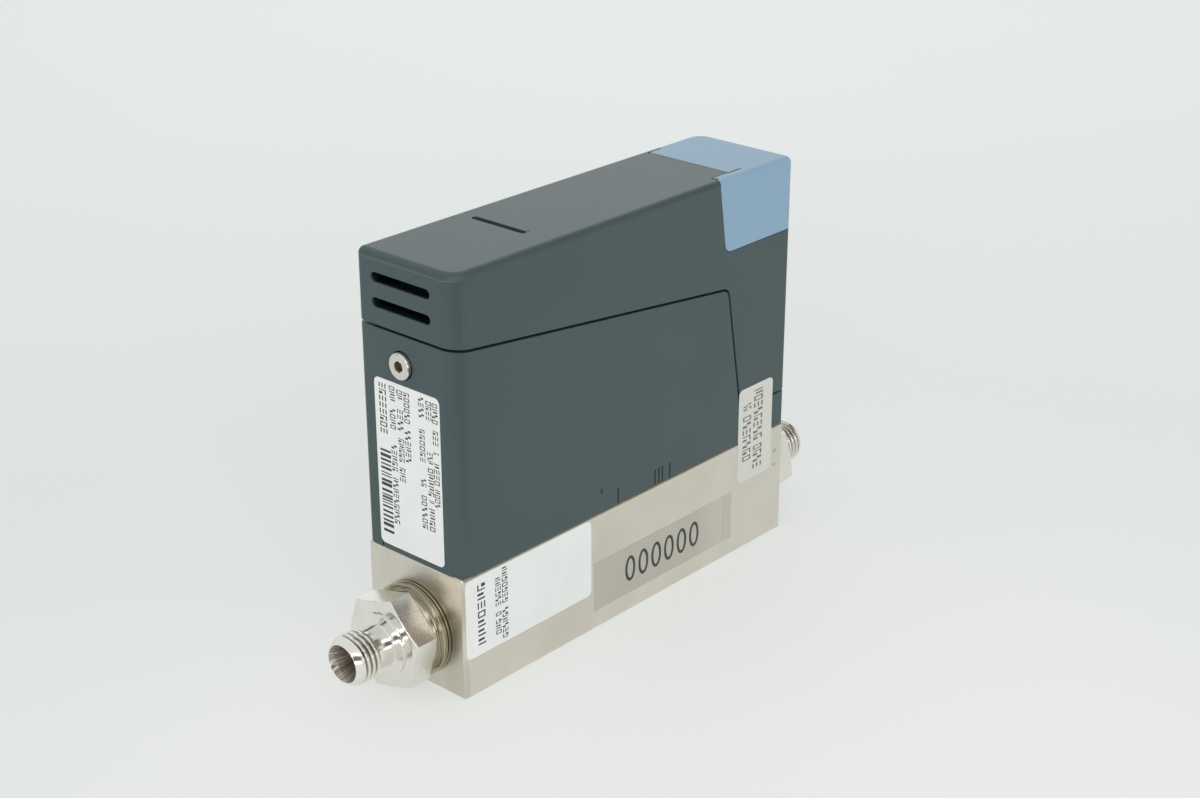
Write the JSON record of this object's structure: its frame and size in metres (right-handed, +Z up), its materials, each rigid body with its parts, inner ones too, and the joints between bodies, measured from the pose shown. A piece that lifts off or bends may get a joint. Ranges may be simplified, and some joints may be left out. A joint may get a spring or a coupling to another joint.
{
  "type": "mass flow controller",
  "caption": "Gas mass flow controller: steel flow block with tube fittings at both ends under a narrow two-part plastic case with a coloured end cap.",
  "frame": {"origin": "middle of the base block's underside, on the surface the controller stands on", "axes": "+Z up, +X along the gas flow from the inlet to the outlet, -Y out of the long side that carries the block labels"},
  "size_m": [0.1488, 0.0281, 0.0936],
  "materials": {
    "block_steel": "bead-blasted satin stainless steel",
    "fitting_steel": "turned bright stainless steel",
    "seal_steel": "plain turned steel",
    "seal_rubber": "black elastomer",
    "gas_path_steel": "turned stainless steel",
    "brass": "bright turned brass",
    "inner_plastic": "black glass-filled plastic",
    "board_green": "solder-masked glass laminate",
    "screw_steel": "bright stainless steel",
    "yoke_steel": "zinc-plated steel",
    "copper_winding": "enamelled copper wire",
    "case_grey": "fine-textured dark slate-grey moulding",
    "cap_blue": "fine-textured light blue moulding",
    "capacitor_can": "drawn aluminium",
    "chip_black": "moulded black epoxy",
    "header_white": "natural nylon",
    "flex_amber": "polyimide film",
    "connector_steel": "tin-plated pressed steel",
    "connector_black": "moulded black plastic",
    "label_white": null,
    "tape_clear": null
  },
  "bodies": {
    "body": {"base_block": "block_steel", "block_label": "label_white", "board_bracket": "yoke_steel", "board_capacitors": "capacitor_can", "board_chips": "chip_black", "board_headers": "header_white", "board_screws": "screw_steel", "bracket_screws": "screw_steel", "case_screws": "screw_steel", "coil_bobbin": "inner_plastic", "coil_nut": "yoke_steel", "coil_winding": "copper_winding", "coil_yoke": "yoke_steel", "connector_contacts": "brass", "connector_insulator": "connector_black", "connector_shell": "connector_steel", "connector_standoffs": "connector_steel", "core_tube": "gas_path_steel", "end_cap": "cap_blue", "flow_element": "gas_path_steel", "front_insert": "brass", "front_label": "label_white", "front_screw": "screw_steel", "inlet_filter": "gas_path_steel", "inlet_fitting": "fitting_steel", "inlet_seal_ring": "seal_steel", "inlet_seal_rubber": "seal_rubber", "lower_housing": "case_grey", "main_board": "board_green", "orifice": "brass", "outlet_fitting": "fitting_steel", "outlet_seal_ring": "seal_steel", "outlet_seal_rubber": "seal_rubber", "seal_label": "label_white", "sensor_board": "board_green", "sensor_body": "inner_plastic", "sensor_flex": "flex_amber", "sensor_gasket": "seal_rubber", "sensor_screws": "screw_steel", "tape_label": "tape_clear", "upper_housing": "case_grey", "valve_o_ring": "seal_rubber", "valve_screws": "screw_steel", "valve_spring": "gas_path_steel"},
    "plunger": {"valve_plunger": "gas_path_steel", "seat_pad": "seal_rubber"}
  },
  "joints": [
    {"name": "valve_lift", "type": "slide", "parent": "body", "child": "plunger", "axis": [0, 0, 1], "range_m": [0, 0.0006], "stiffness_N_per_m": 1500, "springref_m": -0.0015, "deforming": ["valve_spring"]}
  ]
}
